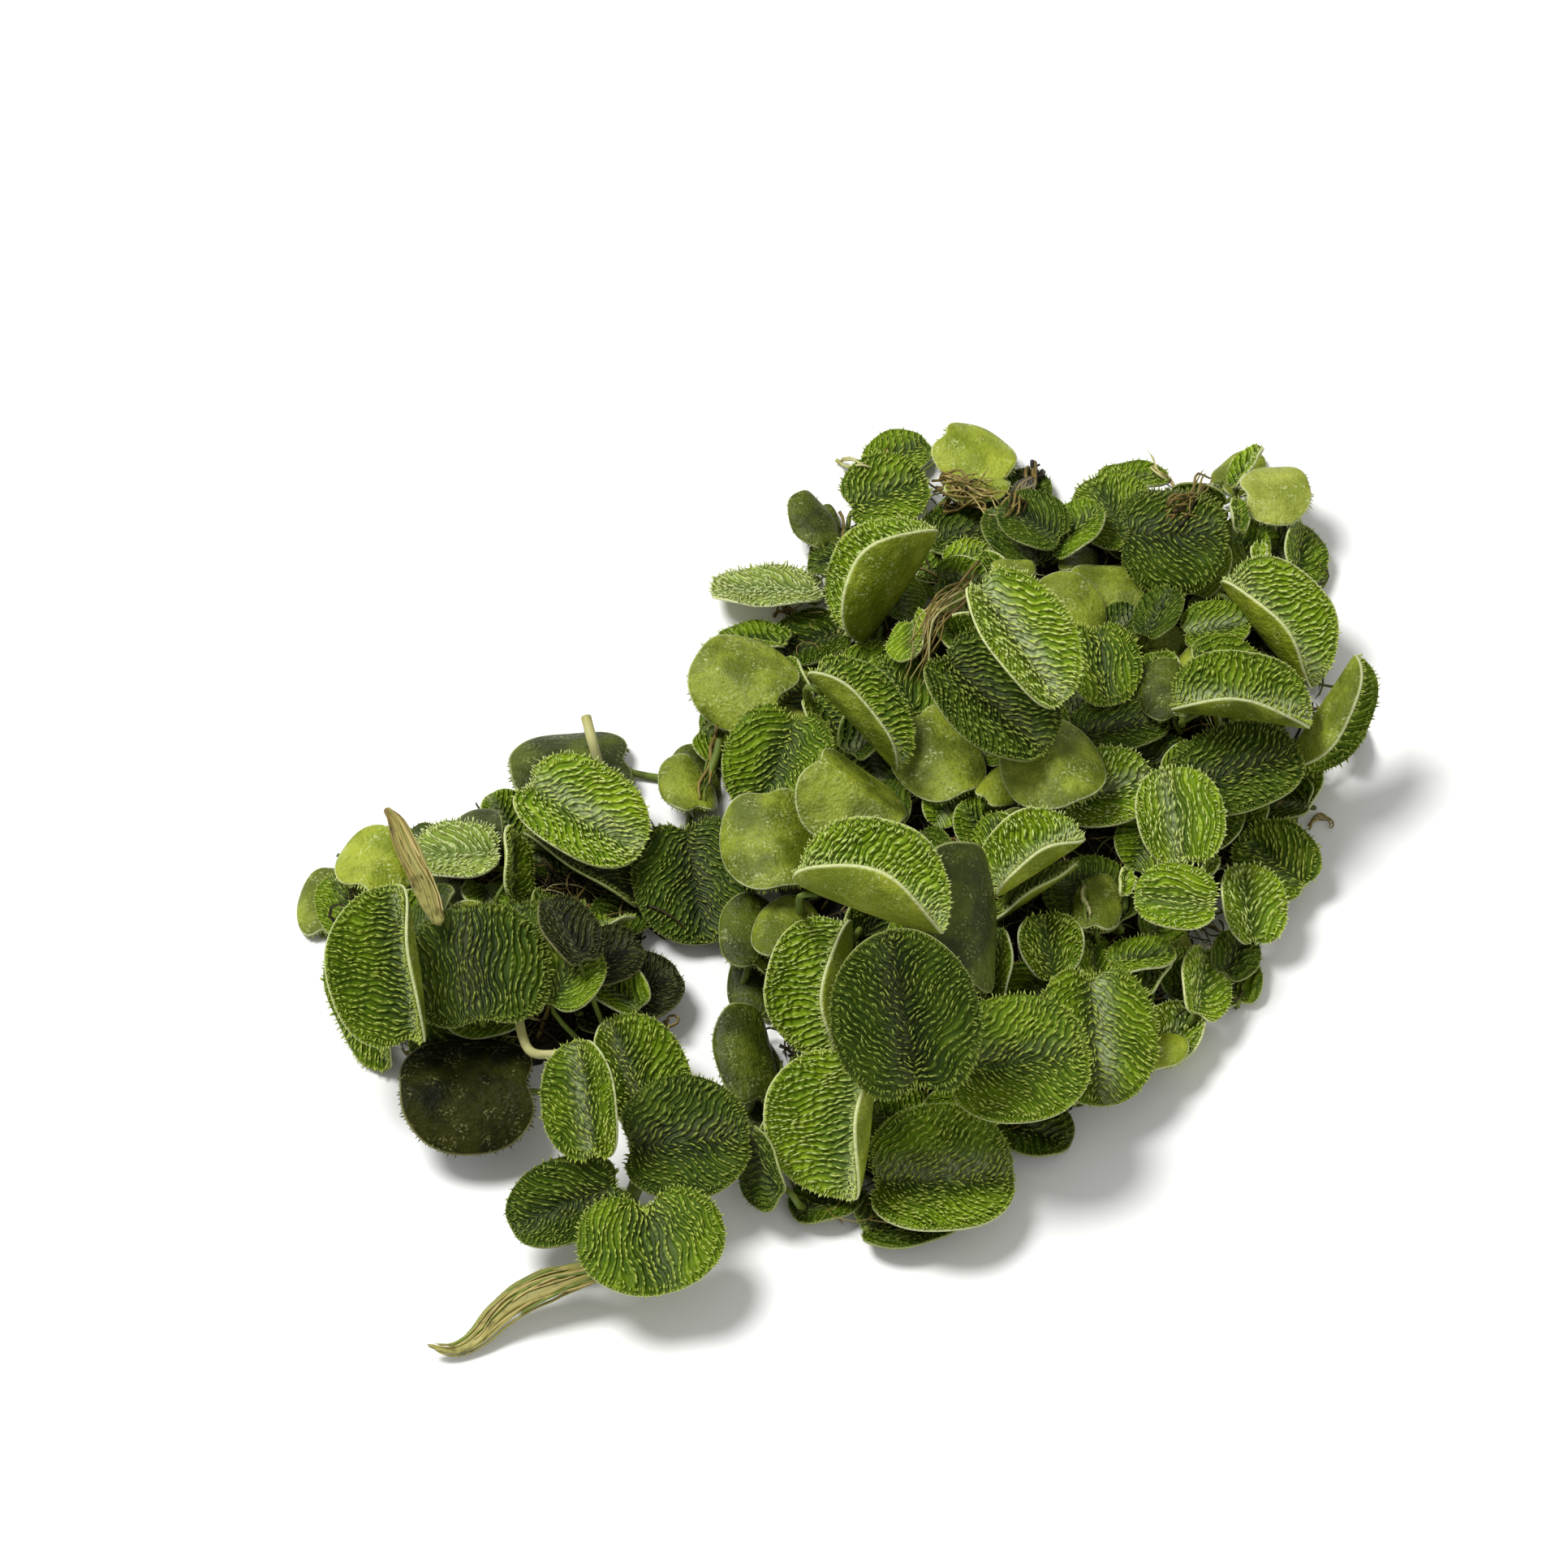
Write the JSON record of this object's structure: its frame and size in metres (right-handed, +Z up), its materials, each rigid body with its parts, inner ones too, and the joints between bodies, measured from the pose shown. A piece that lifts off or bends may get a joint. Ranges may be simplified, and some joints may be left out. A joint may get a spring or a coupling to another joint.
{
  "type": "heap of eared watermoss",
  "caption": "Loose heap of eared watermoss, a floating fern: cupped hairy leaves with creased middles over mats of tangled roots, lying as picked.",
  "frame": {"origin": "middle of the flat underside of the main heap's root mat, on the surface that it rests on", "axes": "+Z up, +X to the right and +Y away from the viewer of the picture, so the small spray of leaves lies on the -Y side"},
  "size_m": [0.102, 0.106, 0.0313],
  "materials": {
    "leaf": "matt green upper face with rows of short pale hairs",
    "leaf_underside": "smooth, wet yellow-green underside",
    "root_mat": "dark wet tangle of roots and stems",
    "root": "brown fibrous root",
    "stem": "pale straw-green stem"
  },
  "bodies": {
    "root": {"back_boat": "leaf", "back_leaf_1": "leaf_underside", "back_leaf_2": "leaf", "back_leaf_3": "leaf", "back_leaf_4": "leaf_underside", "back_leaf_5": "leaf", "back_leaf_6": "leaf", "flank_stem": "stem", "front_boat_1": "leaf", "front_boat_2": "leaf", "front_boat_3": "leaf", "front_leaf_1": "leaf_underside", "front_leaf_2": "leaf", "front_leaf_3": "leaf", "front_leaf_4": "leaf", "left_boat": "leaf", "left_flank_1": "leaf_underside", "left_flank_2": "leaf", "left_flank_3": "leaf_underside", "left_flank_4": "leaf_underside", "left_flank_boat": "leaf", "left_leaf_1": "leaf_underside", "left_leaf_2": "leaf_underside", "left_leaf_3": "leaf", "left_leaf_4": "leaf_underside", "left_leaf_5": "leaf", "left_leaf_6": "leaf", "left_leaf_7": "leaf", "left_leaf_8": "leaf", "left_root": "root", "left_root_mat": "root_mat", "left_stem": "stem", "left_stem_end": "stem", "main_root_mat": "root_mat", "middle_boat_1": "leaf", "middle_cup_1": "leaf", "middle_leaf_1": "leaf_underside", "middle_leaf_2": "leaf_underside", "middle_leaf_3": "leaf", "middle_leaf_4": "leaf_underside", "middle_leaf_5": "leaf", "middle_leaf_6": "leaf", "right_boat_1": "leaf", "right_boat_2": "leaf", "right_cup_1": "leaf", "right_leaf_1": "leaf", "right_leaf_2": "leaf", "right_leaf_3": "leaf", "right_leaf_4": "leaf", "right_leaf_5": "leaf", "right_leaf_6": "leaf", "right_leaf_7": "leaf", "right_leaf_8": "leaf", "spray_leaf_1": "leaf", "spray_leaf_2": "leaf", "spray_leaf_3": "leaf", "spray_leaf_4": "leaf", "spray_leaf_5": "leaf", "spray_root": "root", "spray_stem": "stem"}
  },
  "joints": []
}
